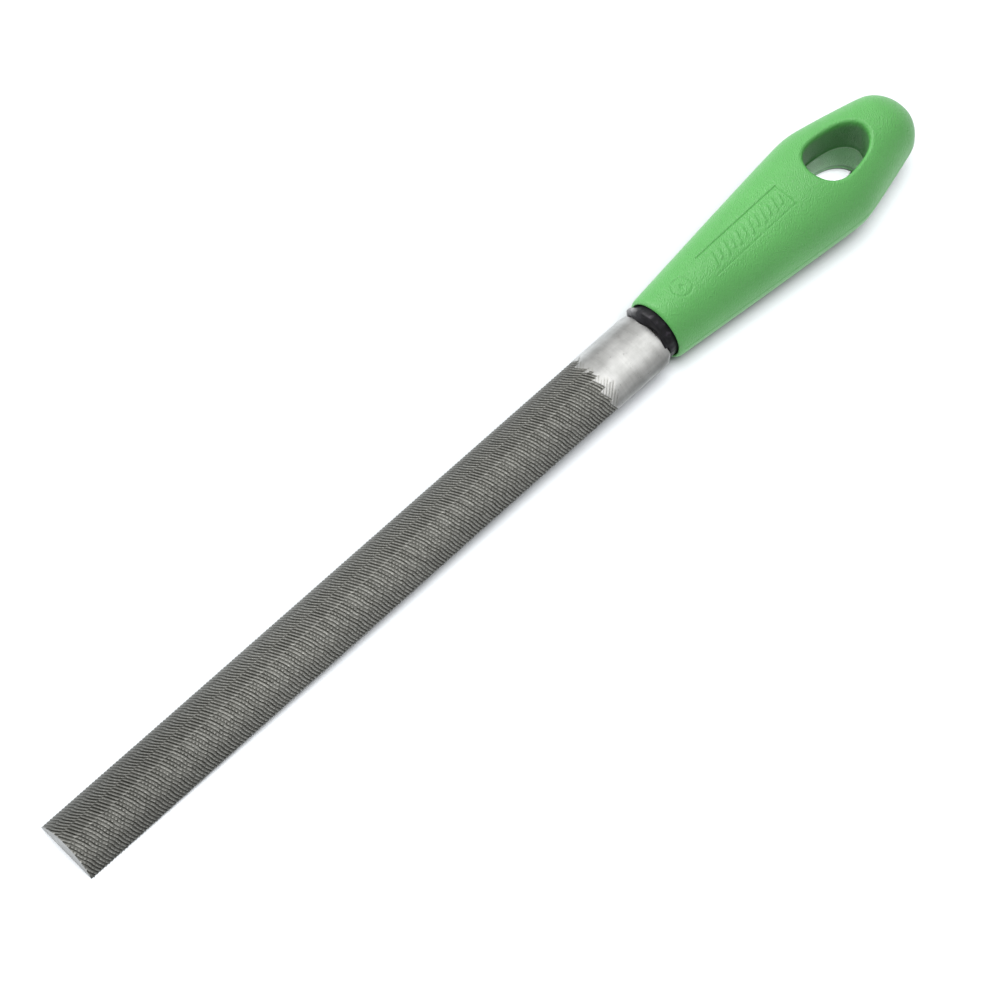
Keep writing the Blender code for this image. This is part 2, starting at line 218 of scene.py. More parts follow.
# Marks on top of the handle: a sunk panel outline, raised slanted bars, and a ring with a dot.
RELIEF_START_X = 108.0
RELIEF_END_X = 153.6
RELIEF_HALF_WIDTH = 5.0
PANEL = (121.7, 152.1, -3.7, 4.0)
PANEL_LINE = 0.3
PANEL_CORNER = 0.2
PANEL_DEPTH = 0.24
FAINT_LINE = 0.35
BAR_HEIGHT = 0.2
BAR_WIDTH = 0.9
BAR_PITCH = 2.3
BAR_COUNT = 12
BAR_MARGIN = 1.5
BAR_SLANT = 0.4
BAR_REACHES = (2.2, 1.5)
EMBLEM_X = 112.6
EMBLEM_Y = 0.6
EMBLEM_RADIUS = 2.8
EMBLEM_LINE = 0.36
EMBLEM_DOT = 1.3
EMBLEM_DEPTH = 0.2
EMBLEM_MARGIN = 1.2
MARK_FLANK = 0.1

# Lines along the handle's upper half: heights above the parting line, steps round the side, steps
# over the shoulder, and distances from the middle for the marked top. LINES_X is the station
# where they have their nominal spacing.
LINES_X = 106.0
LOW_LINES = (0.0, 0.14, 0.3, 0.6)
SIDE_STEPS = 15
OUTER_STEPS = 6
TOP_STEP = 0.3
TOP_STEPS = 11
TOP_LINES = (3.45, 3.6, 3.75, 3.9, 4.05, 4.2, 4.5)
PATCH_EDGE_SHARE = 0.6

# Sleeve: rings of its outside as (x, radius, waviness, flange), from inside the handle forward.
SLEEVE_COLUMNS = 144
SLEEVE_OUTSIDE = (
    (152.0, 5.4, 0.0, 0.0), (116.0, 7.9, 0.0, 0.0), (104.5, 7.9, 0.0, 0.0),
    (102.9, 7.9, 0.02, 0.0), (102.3, 7.88, 0.05, 0.0), (101.8, 7.92, 0.07, 0.15),
    (101.4, 7.95, 0.08, 0.6), (101.0, 7.9, 0.09, 0.95), (100.6, 7.82, 0.1, 1.05),
    (100.35, 7.6, 0.1, 0.9), (100.22, 7.3, 0.08, 0.5),
)
# The sleeve's edge as (distance outside the blade's outline, how far forward it laps it).
SLEEVE_LAP = ((0.75, 0.4), (0.35, 0.85), (0.12, 1.0), (0.06, 0.9), (0.06, 0.0))
# The slot for the tang as (x, half width and half height).
SLEEVE_SLOT = ((100.3, (5.1, 2.6)), (100.5, (4.8, 2.5)), (150.3, (1.9, 1.5)))
SLEEVE_FACE_X = 100.28
# Waves of the worn edge as (waves round the sleeve, phase, share), and the lean of that edge.
EDGE_WAVES = ((5.0, 0.6, 1.0), (13.0, 0.0, 0.6), (29.0, 0.0, 0.4))
EDGE_LEAN_WAVES = 3.0
EDGE_LEAN_PHASE = 1.0
EDGE_LEAN_SHARE = 0.8
FLANGE_ANGLE = math.radians(24.0)
FLANGE_HALF_ANGLE = math.radians(26.0)
FLANGE_WEAR = 1.5
LAP_LENGTH = 0.95
LAP_WAVES = 3.3
LAP_PEAK = math.radians(56.0)
LAP_LIMIT = 7.0

# Stage. Powers are in watts, the sun's in watts per square metre, angles in degrees.
FLOOR_SIZE = 6000.0
FLOOR_GAP = 0.02
FLOOR_SUN = 9.6
FLOOR_SUN_LEAN = 10.0
FLOOR_SUN_SPREAD = 40.0
HOLE_BEAM_POWER = 30.0
HOLE_BEAM_DISTANCE = 0.6
HOLE_BEAM_SPREAD = 2.4
HOLE_BEAM_BLEND = 0.3
HOLE_BEAM_RADIUS = 0.002
# Lamps for single pieces: name, place, diameter, power, pieces they shine on.
LAMP_TARGET = (0.1, 0.0, 0.0)
LAMPS = (
    ("side_lamp", (-0.1, 1.2, 1.2), 1.2, 23.0, ("grained_handle", "tang_sleeve_collar")),
    ("overhead_lamp", (0.6, -0.34, 1.57), 1.8, 5.7, ("toothed_blade",)),
    ("glint_lamp", (0.65, -1.23, 0.7), 0.35, 1.5, ("grained_handle",)),
)
CAMERA_PLACE = (-179.81, -223.84, 605.90)
CAMERA_RIGHT = (0.70685, -0.70736, 0.00138)
CAMERA_FORWARD = (0.32202, 0.32005, -0.89100)
LENS = 96.77
SENSOR = 36.0


def clamp(value):
    """A value held between 0 and 1."""
    return min(1.0, max(0.0, value))


def unit(vector):
    """A direction with a length of one."""
    return np.array(vector) / np.linalg.norm(vector)


def scatter(number, salt):
    """A repeatable value from 0 to 1 that looks random from one number to the next."""
    value = math.sin(number * 12.9898 + salt * 78.233) * 43758.5453
    return value - math.floor(value)


def attribute(item, name, values):
    """Store one number for each point of a mesh."""
    layer = item.data.attributes.new(name, "FLOAT", "POINT")
    layer.data.foreach_set("value", np.asarray(values, np.float32))


class Skin:
    """Points and faces of a mesh, with the values that its material reads at each point."""

    def __init__(self, *names):
        self.points = []
        self.faces = []
        self.values = {name: [] for name in names}

    def add(self, point, *values):
        """Add a point with its values, and return its number."""
        self.points.append(point)
        for numbers, value in zip(self.values.values(), values):
            numbers.append(value)
        return len(self.points) - 1

    def ring(self, points, *values):
        """Add points that share their values, and return their numbers."""
        return [self.add(point, *values) for point in points]

    def bridge(self, first, second, turned=False):
        """Join two closed rings with quads, which face the other way when turned."""
        for j in range(len(first)):
            k = (j + 1) % len(first)
            if turned:
                self.faces.append((first[j], first[k], second[k], second[j]))
            else:
                self.faces.append((first[j], second[j], second[k], first[k]))

    def chain(self, rings, turned=False):
        """Join each ring to the next."""
        for first, second in zip(rings[:-1], rings[1:]):
            self.bridge(first, second, turned)

    def build(self, name, smooth=True):
        """The mesh object, in metres."""
        mesh = bpy.data.meshes.new(name)
        mesh.from_pydata((np.asarray(self.points) * MM).tolist(), [], self.faces)
        mesh.update()
        if smooth:
            mesh.polygons.foreach_set("use_smooth", [True] * len(mesh.polygons))
        item = bpy.data.objects.new(name, mesh)
        bpy.context.scene.collection.objects.link(item)
        for key, numbers in self.values.items():
            attribute(item, key, numbers)
        return item


# -------- blade


def lean_run(share, span, top, middle, bottom):
    """Shift of a line along X after part of a strip, for a lean that changes smoothly down it."""
    second = -3.0 * top + 4.0 * middle - bottom
    third = 2.0 * (top - 2.0 * middle + bottom)
    return span * (top * share + second * share**2 / 2.0 + third * share**3 / 3.0)


def arc_columns():
    """Per column of the convex side: arc position, shift of its teeth, strip, share of the strip
    and end of its teeth."""
    limit = ARC_RADIUS * math.asin(HALF_WIDTH / ARC_RADIUS)
    arcs = np.linspace(limit, -limit, ARC_COLUMNS + 1)
    starts = []
    shift = 0.0
    for strip, bottom in zip(STRIPS, STRIP_BOTTOMS):
        shift += strip.jump * PITCH
        starts.append(shift)
        shift += lean_run(1.0, strip.top - bottom, *strip.leans)
    shifts, shares, ends, strips = [], [], [], []
    for v in arcs:
        index = max(i for i, strip in enumerate(STRIPS) if v <= strip.top)
        strip = STRIPS[index]
        span = strip.top - STRIP_BOTTOMS[index]
        share = (strip.top - v) / span
        run = lean_run(share, span, *strip.leans)
        shifts.append(starts[index] + run)
        shares.append(share)
        ends.append(strip.teeth_end + run)
        strips.append(index)
    return arcs, np.array(shifts), strips, shares, ends


def over_cut(x, v, strip, last_stroke):
    """Depth share of the over-cut at a point. Each stroke fades out at its own reach on the heel,
    and there are none past the last one."""
    place = (x - OVER_SLOPE * v) / OVER_PITCH
    number = math.floor(place)
    if number * OVER_PITCH > last_stroke:
        return 0.0
    groove = 1.0 - abs(2.0 * (place - number) - 1.0)
    low, high = OVER_REACH
    reach = low + (high - low) * scatter(number, strip)
    return clamp(OVER_SHARPNESS * groove - 0.5 * OVER_SHARPNESS) * clamp((reach - x) / OVER_FADE)


def tooth_light_tone(v):
    """Painted light on the teeth along the arc: a painted highlight near the crown, painted shade towards
    both edges.
    """
    places, tones = zip(*TOOTH_LIGHT_TONES)
    return float(np.interp(v, places, tones))


def heel_shade_tone(v):
    """Brightness of the bare heel along the arc: painted shade darkens its -Y edge."""
    return 1.0 - HEEL_EDGE_SHADE * clamp((HEEL_EDGE_START - v) / HEEL_EDGE_LENGTH)


def pearl_glint_tone(x, v, tooth, up):
    """Change of brightness along a tooth: painted glints on pearls and on rows of dots, and a darker tip."""
    stroke = math.floor((x - OVER_SLOPE * v) / OVER_PITCH)
    pearl = (PEARL_STEPS[0] * tooth + PEARL_STEPS[1] * stroke) % 1.0
    near_dots = sum(math.exp(-(((v - place) / DOT_WIDTH) ** 2)) for place in DOT_PLACES)
    dot = DOT_GAIN * near_dots * ((DOT_STEP * tooth) % 1.0)
    gain = (1.0 - up) * (PEARL_GAIN * pearl * pearl - PEARL_LOSS + dot)
    tip_share = clamp((TIP_DARK_END - x) / (TIP_DARK_END - TIP_DARK_START))
    return (1.0 - TIP_DARKENING * tip_share) * (1.0 + gain)


class Columns:
    """The blade's lines of points along X: over the convex side from +Y to -Y, then under the
    flat side back to +Y."""

    def __init__(self):
        self.arcs, arc_leans, self.strips, self.shares, self.ends = arc_columns()
        inner = slice(1, -1)
        self.flat_y = np.linspace(-1.0, 1.0, FLAT_COLUMNS + 1)[inner] * HALF_WIDTH
        flat_leans = np.linspace(arc_leans[-1], arc_leans[0], FLAT_COLUMNS + 1)[inner]
        self.leans = np.concatenate([arc_leans, flat_leans])
        self.count = len(self.leans)

    def is_convex(self, j):
        return j <= ARC_COLUMNS

    def arc_place(self, j):
        """Place of a column along the arc; the flat side's columns count as the crown."""
        return self.arcs[j] if self.is_convex(j) else 0.0

    def tip_x(self, j):
        """Where a column starts on the raked tip."""
        if not self.is_convex(j):
            return TIP_X
        height = ARC_CENTRE_Z + ARC_RADIUS * math.cos(self.arcs[j] / ARC_RADIUS)
        return TIP_X + TIP_RAKE * max(0.0, height)

    def surface(self, j, x, depth=0.0):
        """(y, z) of a column, sunk by depth below the nominal surface."""
        flare = max(0.0, 1.0 - (x - TIP_X) / TIP_FLARE)
        widen = 1.0 + (TIP_HALF_WIDTH / HALF_WIDTH - 1.0) * flare
        if not self.is_convex(j):
            return self.flat_y[j - ARC_COLUMNS - 1] * widen, depth
        angle = self.arcs[j] / ARC_RADIUS
        radius = ARC_RADIUS - depth
        y = radius * math.sin(angle) * widen
        if j in (0, ARC_COLUMNS):
            return y, 0.0
        return y, max(0.0, ARC_CENTRE_Z + radius * math.cos(angle))

    def cut_at(self, j, x, tooth, up):
        """Depth of the cut at a point, and how toothed the point looks, 0 to 1."""
        if self.is_convex(j):
            v, strip, share, end = self.arcs[j], self.strips[j], self.shares[j], self.ends[j]
            last_stroke = STRIPS[strip].last_stroke
            rise = clamp((EDGE_DEPTH_START - v) / EDGE_DEPTH_LENGTH)
            shallow = EDGE_DEPTH + (1.0 - EDGE_DEPTH) * rise
        else:
            v, strip, share, end = -self.flat_y[j - ARC_COLUMNS - 1], FLAT_STRIP, 0.5, FLAT_TEETH_END
            last_stroke = FLAT_TEETH_END
            shallow = 1.0
        bow_middle = END_BOW_MIDDLE + END_BOW_SCATTER * scatter(strip, 3.0)
        start = (tooth + TOOTH_START) * PITCH + self.leans[j]
        toothed = start < end - PITCH * END_BOW * (share - bow_middle) ** 2
        groove = over_cut(x, v, strip, last_stroke)
        among, beyond = BOLD_OVER_CUT if strip in BOLD_STRIPS else FINE_OVER_CUT
        over_depth = OVER_DEPTH * shallow * groove * (among if toothed else beyond)
        if not toothed:
            return over_depth, min(STROKE_CUT_LIMIT, STROKE_CUT_GAIN * groove)
        side = abs(2.0 * share - 1.0) ** STRIP_SIDE_POWER if strip in FINE_STRIPS else 0.0
        variation = 1.0 - TOOTH_VARIATION + TOOTH_VARIATION * scatter(tooth, strip)
        up_depth = UP_DEPTH * shallow * up * (1.0 - STRIP_SIDE_LOSS * side) * variation
        return max(up_depth, over_depth), 1.0


Rows = namedtuple("Rows", "tooth up x")
Line = namedtuple("Line", "tip rows end")


def tooth_rows(leans):
    """Tooth number, depth share and place of each row, enough rows to fill every column."""
    first = int(math.floor((TIP_X - leans.max()) / PITCH)) - 1
    last = int(math.ceil((TEETH_LIMIT_X - leans.min()) / PITCH)) + 1
    teeth = np.arange(first, last)
    tooth = np.repeat(teeth, len(ROW_PHASES))
    phase = np.tile(np.array(ROW_PHASES), len(teeth))
    up = np.tile(np.array(ROW_DEPTHS), len(teeth))
    return Rows(tooth, up, (tooth + phase) * PITCH)


def add_line(skin, columns, j, rows):
    """Add the points of one column from the tip to the end of the teeth."""
    v = columns.arc_place(j)
    # Bare steel, with painted shade at its -Y edge.
    bare = heel_shade_tone(v)
    # Painted light and shade along the arc on the convex side's teeth.
    tone = tooth_light_tone(v) if columns.is_convex(j) else FLAT_TONE
    tip_x = columns.tip_x(j)
    xs = rows.x + columns.leans[j]
    inside = (xs > tip_x + EDGE_CLEARANCE) & (xs < TEETH_LIMIT_X - EDGE_CLEARANCE)
    kept = [int(i) for i in np.nonzero(inside)[0]]
    depth, cut = columns.cut_at(j, tip_x, rows.tooth[kept[0]], rows.up[kept[0]])
    y, z = columns.surface(j, tip_x, depth)
    tip_point = (TIP_X + TIP_RAKE * z, y, z)
    tip = skin.add(tip_point, cut, depth / UP_DEPTH, 1.0 + (tone - 1.0) * cut)
    numbers = {}
    for i in kept:
        x = xs[i]
        depth, cut = columns.cut_at(j, x, rows.tooth[i], rows.up[i])
        # Painted glints on the pearls and dot rows, over the painted light along the arc.
        shade = tone * pearl_glint_tone(x, v, rows.tooth[i], rows.up[i])
        point = (x, *columns.surface(j, x, depth))
        numbers[i] = skin.add(point, cut, depth / UP_DEPTH, bare + (shade - bare) * cut)
    end = skin.add((TEETH_LIMIT_X, *columns.surface(j, TEETH_LIMIT_X)), 0.0, 0.0, bare)
    return Line(tip, numbers, end)


def weave(skin, a, b):
    """Faces between two neighbouring lines, which may start and end on different rows."""
    low = max(min(a.rows), min(b.rows))
    high = min(max(a.rows), max(b.rows))
    for i in range(low, high):
        skin.faces.append((a.rows[i], b.rows[i], b.rows[i + 1], a.rows[i + 1]))
    left = [a.rows[i] for i in range(min(a.rows), low + 1)]
    right = [b.rows[i] for i in range(min(b.rows), low + 1)]
    skin.faces.append((a.tip, b.tip, *right, *left[::-1]))
    left = [a.rows[i] for i in range(high, max(a.rows) + 1)]
    right = [b.rows[i] for i in range(high, max(b.rows) + 1)]
    skin.faces.append((left[0], *right, b.end, a.end, *left[:0:-1]))


def add_tip_face(skin, outer):
    """The ground end face, inside the toothed edge."""
    inner = []
    for number in outer:
        _, y, z = skin.points[number]
        y *= 1.0 - TIP_FACE_INSET / HALF_WIDTH
        z = TIP_FACE_INSET + z * (1.0 - 2.0 * TIP_FACE_INSET / THICKNESS)
        point = (TIP_X + TIP_RAKE * z - TIP_FACE_PROUD, y, z)
        inner.append(skin.add(point, 0.0, 0.0, TIP_FACE_TONE))
    skin.bridge(inner, outer, turned=True)
    skin.faces.append(tuple(inner[::-1]))


def heel_point(columns, j, x, inset=0.0):
    """(y, z) of the bare heel, narrowed at the clipped shoulders and drawn in by inset."""
    y, z = columns.surface(j, 0.0)
    clipped = clamp((x - SHOULDER_X + SHOULDER_CUT) / SHOULDER_CUT)
    limit = HALF_WIDTH + (SHOULDER_HALF_WIDTH - HALF_WIDTH) * clipped
    if abs(y) > limit:
        y = math.copysign(limit, y)
        z = min(z, ARC_CENTRE_Z + math.sqrt(ARC_RADIUS**2 - limit**2))
    return y * (1.0 - inset / HALF_WIDTH), inset + z * (1.0 - 2.0 * inset / THICKNESS)


def on_rectangle(dy, dz, half):
    """(y, z) where a direction from the tang's middle meets a rectangle round it."""
    scale = min(half[0] / max(abs(dy), TINY), half[1] / max(abs(dz), TINY))
    return dy * scale, TANG_Z + dz * scale


def add_heel_and_tang(skin, columns, last):
    """Rings from the end of the teeth over the heel and the shoulders to the tang's end."""
    every = range(columns.count)
    rings = [(x, [heel_point(columns, j, x) for j in every]) for x in HEEL_STATIONS]
    rings += [(x, [heel_point(columns, j, x, inset) for j in every]) for x, inset in SHOULDER_EDGE]
    shoulder = [heel_point(columns, j, SHOULDER_X) for j in every]
    for x, half in ((SHOULDER_X, TANG_ROOT), (TANG_END_X, TANG_TIP)):
        rings.append((x, [on_rectangle(y, z - TANG_Z, half) for y, z in shoulder]))
    for x, ring in rings:
        added = []
        for j, (y, z) in enumerate(ring):
            added.append(skin.add((x, y, z), 0.0, 0.0, heel_shade_tone(columns.arc_place(j))))
        skin.bridge(last, added, turned=True)
        last = added
    skin.faces.append(tuple(last))


def blade_mesh():
    """The whole forging: toothed blade, bare heel, shoulders and tang."""
    columns = Columns()
    rows = tooth_rows(columns.leans)
    skin = Skin("cut", "depth", "tone")
    lines = [add_line(skin, columns, j, rows) for j in range(columns.count)]
    for j, line in enumerate(lines):
        weave(skin, line, lines[(j + 1) % columns.count])
    add_tip_face(skin, [line.tip for line in lines])
    add_heel_and_tang(skin, columns, [line.end for line in lines])
    item = skin.build("toothed_blade", smooth=False)
    # The bare heel is smooth, and the teeth, the tip's face and the shoulders are flat.
    cuts = skin.values["cut"]
    for polygon in item.data.polygons:
        xs = [skin.points[k][0] for k in polygon.vertices]
        bare = all(cuts[k] < 1.0 for k in polygon.vertices)
        on_heel = 0.0 < min(xs) < SHOULDER_X - 0.1 and max(xs) < SHOULDER_X + 0.01
        polygon.use_smooth = bool(bare and on_heel)
    return item


# -------- handle


def blend_low(first, second, softness):
    """The lower of two values, with a rounded corner where they cross."""
    return 0.5 * (first + second - math.hypot(first - second, softness))


def butt_share(x, length):
    """Share of the size that the butt's rounding leaves at a station."""
    depth = max(0.0, (x - (HANDLE_END - length)) / length)
    return math.sqrt(max(0.0, 1.0 - depth * depth))


def section(x):
    """Half width, half thickness and roundness power of the handle at a station."""
    front, butt = x - HANDLE_FRONT, x - BUTT_STATION
    widening = FRONT_HALF_WIDTH + FLANK_SLOPE * front
    narrowing = BUTT_HALF_WIDTH - BUTT_SLOPE * butt
    width = blend_low(widening, narrowing, WIDEST_BLEND) * butt_share(x, BUTT_PLAN_ROUNDING)
    rising = FRONT_HALF_THICKNESS + SIDE_SLOPE * front
    falling = BUTT_HALF_THICKNESS - BUTT_SIDE_SLOPE * butt
    thickness = blend_low(rising, falling, SIDE_BLEND) * butt_share(x, BUTT_SIDE_ROUNDING)
    share = clamp(front / SECTION_POWER_LENGTH)
    return width, thickness, SECTION_POWER_FRONT + (SECTION_POWER_BODY - SECTION_POWER_FRONT) * share


def other_share(share, power):
    """Share of the half thickness at a share of the half width, and the other way round."""
    return (1.0 - share**power) ** (1.0 / power)


def height_over(x, y):
    """Height of the handle's skin above its axis at a point in plan."""
    width, thickness, power = section(x)
    return thickness * other_share(min(SKIN_LIMIT, abs(y) / width), power)


def mark(distance, width):
    """One inside a band of the given width, with narrow sloping flanks."""
    return clamp((0.5 * width - abs(distance)) / MARK_FLANK + 0.5)


def relief(x, y):
    """Height added to the top of the handle by the plain panel outline, bars and ring."""
    if not RELIEF_START_X <= x <= RELIEF_END_X or abs(y) > RELIEF_HALF_WIDTH:
        return 0.0
    x0, x1, y0, y1 = PANEL
    middle_y = 0.5 * (y0 + y1)
    line = 0.0
    if y0 - PANEL_CORNER < y < y1 + PANEL_CORNER:
        line = mark(x - x1, PANEL_LINE)
    if x0 - PANEL_CORNER < x < x1 + PANEL_CORNER:
        line = max(line, FAINT_LINE * mark(y - y0, PANEL_LINE), mark(y - y1, PANEL_LINE))
    added = -PANEL_DEPTH * line
    along = x - x0 - BAR_MARGIN - BAR_SLANT * (y - middle_y)
    number = math.floor(along / BAR_PITCH)
    if 0 <= number < BAR_COUNT:
        reach = BAR_REACHES[number % len(BAR_REACHES)]
        off_middle = along - (number + 0.5) * BAR_PITCH
        added += BAR_HEIGHT * mark(off_middle, BAR_WIDTH) * mark(y - middle_y, 2.0 * reach)
    away = math.hypot(x - EMBLEM_X, y - EMBLEM_Y)
    added -= EMBLEM_DEPTH * mark(away - EMBLEM_RADIUS, EMBLEM_LINE)
    added -= EMBLEM_DEPTH * mark(away, EMBLEM_DOT)
    return added


def cross_lines():
    """Lines along the handle's upper half from its +Y side to its -Y side, as (kind, value,
    side)."""
    top = [TOP_STEP * i for i in range(TOP_STEPS)] + list(TOP_LINES)
    half = [("low", height) for height in LOW_LINES]
    half += [("side", i / SIDE_STEPS) for i in range(1, SIDE_STEPS)]
    half += [("outer", i / OUTER_STEPS) for i in range(OUTER_STEPS, 0, -1)]
    half += [("top", distance) for distance in top[:0:-1]]
    mirrored = [(kind, value, -1.0) for kind, value in half[::-1]]
    return [(kind, value, 1.0) for kind, value in half] + [("top", 0.0, 1.0)] + mirrored


def line_point(line, shape, scale):
    """(y, height above the axis) of one line in a section."""
    kind, value, side = line
    width, thickness, power = shape
    if kind in ("top", "outer"):
        y = value * scale
        if kind == "outer":
            inner = TOP_LINES[-1] * scale
            y = inner + (PATCH_EDGE_SHARE * width - inner) * value
        return side * y, thickness * other_share(min(1.0, y / width), power)
    height = value * scale
    if kind == "side":
        low_share = min(1.0, LOW_LINES[-1] * scale / thickness)
        low_angle = math.asin(low_share ** (0.5 * power))
        top_angle = math.acos(PATCH_EDGE_SHARE ** (0.5 * power))
        angle = low_angle + (top_angle - low_angle) * value
        height = thickness * math.sin(angle) ** (2.0 / power)
    return side * width * other_share(min(1.0, height / thickness), power), height


def section_ring(x, lines):
    """Ring of (y, height above the axis) at a station: the upper half, then its mirror image."""
    shape = section(x)
    scale = min(1.0, shape[0] / section(LINES_X)[0])
    top = [line_point(line, shape, scale) for line in lines]
    return top + [(y, -height) for y, height in top[-2:0:-1]]


def stations():
    """Stations along the handle behind the lip, close together over the marks and the hole."""
    start = HANDLE_FRONT + LIP_LENGTH
    butt = HANDLE_END - BUTT_SIDE_ROUNDING
    emblem_end = EMBLEM_X + EMBLEM_RADIUS + EMBLEM_MARGIN
    x0, x1 = PANEL[:2]
    xs = list(np.linspace(start, RELIEF_START_X, 8, endpoint=False))
    xs += list(np.linspace(RELIEF_START_X, emblem_end, 45, endpoint=False))
    xs += list(np.linspace(emblem_end, x0 - 0.5, 10, endpoint=False))
    xs += [x0 + step for step in (-0.5, -0.3, -0.15, 0.0, 0.15, 0.3, 0.5)]
    xs += list(np.linspace(x0 + 0.7, x1 - 0.6, 147, endpoint=False))
    xs += [x1 + step for step in (-0.6, -0.35, -0.15, 0.0, 0.15, 0.35, 0.7)]
    xs += list(np.linspace(x1 + 1.3, PATCH_START_X, 8, endpoint=False))
    patch_first = len(xs)
    xs += list(np.linspace(PATCH_START_X, PATCH_END_X, PATCH_STEPS))
    patch_last = len(xs) - 1
    xs += list(np.linspace(PATCH_END_X, butt, 5))[1:]
    for i in range(1, BUTT_STEPS):
        xs.append(butt + BUTT_SIDE_ROUNDING * math.sin(0.5 * math.pi * i / BUTT_STEPS))
    return xs, patch_first, patch_last


def mouth_rings(skin, lines):
    """Rings from the bottom of the bore out over the rolled lip."""
    front = section_ring(HANDLE_FRONT + LIP_LENGTH, lines)
    directions = [unit(point) for point in front]
    circles = [(BORE_END_X, BORE_END_RADIUS), (BORE_TAPER_X, BORE_RADIUS)]
    circles += [(HANDLE_FRONT + behind, BORE_RADIUS + more) for behind, more in MOUTH_EDGE]
    rings = []
    for x, radius in circles:
        rings.append(skin.ring([(x, radius * dy, AXIS_Z + radius * dz) for dy, dz in directions]))
    inner = BORE_RADIUS + LIP_INSET
    for i in range(LIP_STEPS):
        turn = 0.5 * math.pi * i / LIP_STEPS
        share = math.sin(turn)
        x = HANDLE_FRONT + LIP_LENGTH * (1.0 - math.cos(turn))
        ring = []
        for (y, h), (dy, dz) in zip(section_ring(x, lines), directions):
            bore_y, bore_h = inner * dy, inner * dz
            height = bore_h + (h - bore_h) * share
            ring.append((x, bore_y + (y - bore_y) * share, AXIS_Z + height))
        rings.append(skin.ring(ring))
    return rings


def body_ring(x, lines):
    """Points round the handle at a station, with the marks and the parting line's ridge."""
    ring = []
    for j, (y, h) in enumerate(section_ring(x, lines)):
        added = relief(x, y) if j < len(lines) and h > 0.0 else 0.0
        if abs(h) < RIDGE_HALF_HEIGHT and x < RIDGE_END_X:
            y += math.copysign(RIDGE * (1.0 - abs(h) / RIDGE_HALF_HEIGHT), y)
        ring.append((x, y, AXIS_Z + h + added))
    return ring


def outward_normals(outline):
    """Unit normals of a closed plan outline round the origin."""
    tangents = np.roll(outline, -1, 0) - np.roll(outline, 1, 0)
    normals = np.stack([tangents[:, 1], -tangents[:, 0]], 1)
    normals /= np.linalg.norm(normals, axis=1)[:, None]
    return -normals if (normals * outline).sum() < 0 else normals


def hole_outline():
    """Closed plan outline of the hole's wall as dense points about its own centre: a smooth curve
    through the knots and their mirror images."""
    half = list(HOLE_KNOTS)
    knots = np.array(half + [(x, -y) for x, y in half[-2:0:-1]])
    count = len(knots)
    points = []
    for i in range(count):
        p0, p1, p2, p3 = (knots[(i + k) % count] for k in (-1, 0, 1, 2))
        span = np.linalg.norm(p2 - p1)
        leave = (p2 - p0) / (np.linalg.norm(p1 - p0) + span) * span
        arrive = (p3 - p1) / (np.linalg.norm(p3 - p2) + span) * span
        for s in np.linspace(0.0, 1.0, KNOT_STEPS, endpoint=False):
            s2, s3 = s**2, s**3
            ends = (2 * s3 - 3 * s2 + 1) * p1 + (3 * s2 - 2 * s3) * p2
            points.append(ends + (s3 - 2 * s2 + s) * leave + (s3 - s2) * arrive)
    points = np.array(points)
    for _ in range(OUTLINE_SMOOTHING):
        points = 0.5 * points + 0.25 * (np.roll(points, 1, 0) + np.roll(points, -1, 0))
    return points - outward_normals(points) * RIM_MIDDLE


def hole_ring(boundary):
    """Wall point and outward normal of the hole in the direction of each boundary point."""
    outline = hole_outline()
    angles = np.arctan2(outline[:, 1], outline[:, 0])
    order = np.argsort(angles)
    outline, angles = outline[order], angles[order]
    turns = np.concatenate([angles - 2 * math.pi, angles, angles + 2 * math.pi])
    places = np.concatenate([outline] * 3)
    outward = np.concatenate([outward_normals(outline)] * 3)
    walls, normals = [], []
    for x, y in boundary:
        angle = math.atan2(y, x - HOLE_CENTRE_X)
        wall_x, wall_y = (np.interp(angle, turns, places[:, k]) for k in (0, 1))
        normal = [np.interp(angle, turns, outward[:, k]) for k in (0, 1)]
        walls.append((HOLE_CENTRE_X + wall_x, wall_y))
        normals.append(unit(normal))
    return walls, normals


def patch_rings(plan, walls, normals, sign):
    """Rings from a patch's boundary to the parting line: over the skin, round the rim and down
    the wall of the hole."""
    made = []
    for share in SKIN_SHARES:
        ring = []
        for (bx, by), (wx, wy), normal in zip(plan, walls, normals):
            rim_x, rim_y = wx + normal[0] * RIM_RADIUS, wy + normal[1] * RIM_RADIUS
            x, y = bx + (rim_x - bx) * share, by + (rim_y - by) * share
            ring.append((x, y, AXIS_Z + sign * height_over(x, y)))
        made.append(ring)
    for turn in RIM_TURNS:
        out = RIM_RADIUS * (1.0 - math.sin(math.radians(turn)))
        drop = RIM_RADIUS * (1.0 - math.cos(math.radians(turn)))
        ring = []
        for (wx, wy), normal in zip(walls, normals):
            x, y = wx + normal[0] * out, wy + normal[1] * out
            ring.append((x, y, AXIS_Z + sign * (height_over(x, y) - drop)))
        made.append(ring)
    for share in WALL_SHARES:
        inset = WALL_DRAFT * (1.0 - share)
        if share == WALL_SHARES[-1]:
            inset += SEAM_STEP
        ring = []
        for (wx, wy), normal in zip(walls, normals):
            height = (height_over(wx, wy) - RIM_RADIUS) * share
            x, y = wx - normal[0] * inset, wy - normal[1] * inset
            ring.append((x, y, AXIS_Z + sign * height))
        made.append(ring)
    return made


